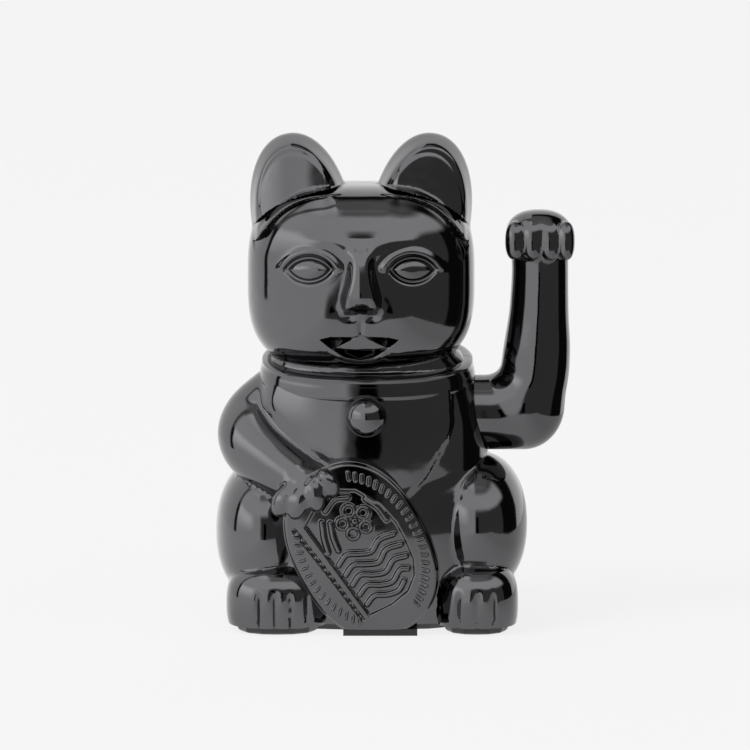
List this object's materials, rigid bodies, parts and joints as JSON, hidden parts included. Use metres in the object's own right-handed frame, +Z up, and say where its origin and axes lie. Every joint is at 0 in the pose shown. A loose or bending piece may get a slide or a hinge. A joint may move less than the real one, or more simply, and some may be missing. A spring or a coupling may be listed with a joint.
{
  "type": "beckoning cat figurine",
  "caption": "Glossy dark seated cat figurine with a raised arm that swings on a battery-driven pendulum, the other paw holding an oval tablet.",
  "frame": {"origin": "on the floor, in the base plate's flat underside, under the middle of the body's width", "axes": "+Z up, -Y the way the cat faces, +X towards the raised arm, which is the cat's own left"},
  "size_m": [0.1082, 0.0776, 0.1491],
  "materials": {
    "black_chrome_plastic": "gloss",
    "black_satin_plastic": "satin",
    "natural_nylon": "satin",
    "zinc_steel": "satin",
    "raw_steel": "matte",
    "enamelled_copper": "gloss",
    "board_green": "satin",
    "component_black": "satin",
    "switch_white": "satin",
    "cell_wrap": "gloss",
    "wire_red": "satin"
  },
  "bodies": {
    "body": {"front_shell": "black_chrome_plastic", "back_shell": "black_chrome_plastic", "base_plate": "black_satin_plastic", "base_screw_front_left": "zinc_steel", "base_screw_front_right": "zinc_steel", "base_screw_back_left": "zinc_steel", "base_screw_back_right": "zinc_steel", "pivot_bracket": "natural_nylon", "bracket_screw_upper": "zinc_steel", "bracket_screw_lower": "zinc_steel", "pivot_pin": "zinc_steel", "coil_bobbin": "natural_nylon", "coil_winding": "enamelled_copper", "circuit_board": "board_green", "transistor": "component_black", "capacitor": "component_black", "switch_body": "component_black", "battery_cell": "cell_wrap", "contact_plate": "zinc_steel", "contact_spring": "zinc_steel", "wire_battery_red": "wire_red", "wire_battery_black": "component_black", "wire_coil": "enamelled_copper"},
    "arm": {"arm_front_half": "black_chrome_plastic", "arm_back_half": "black_chrome_plastic", "pendulum_lever": "natural_nylon", "magnet": "zinc_steel", "counterweight": "raw_steel"},
    "door": {"battery_door": "black_satin_plastic"},
    "switch": {"switch_knob": "switch_white"}
  },
  "joints": [
    {"name": "arm_swing", "type": "hinge", "parent": "body", "child": "arm", "pos_m": [0.031, -0.004, 0.0638], "axis": [1, 0, 0], "range_deg": [-20, 20]},
    {"name": "battery_door_lift", "type": "slide", "parent": "body", "child": "door", "axis": [0, 0, -1], "range_m": [0, 0.008]},
    {"name": "switch_slide", "type": "slide", "parent": "body", "child": "switch", "axis": [1, 0, 0], "range_m": [0, 0.003]}
  ]
}
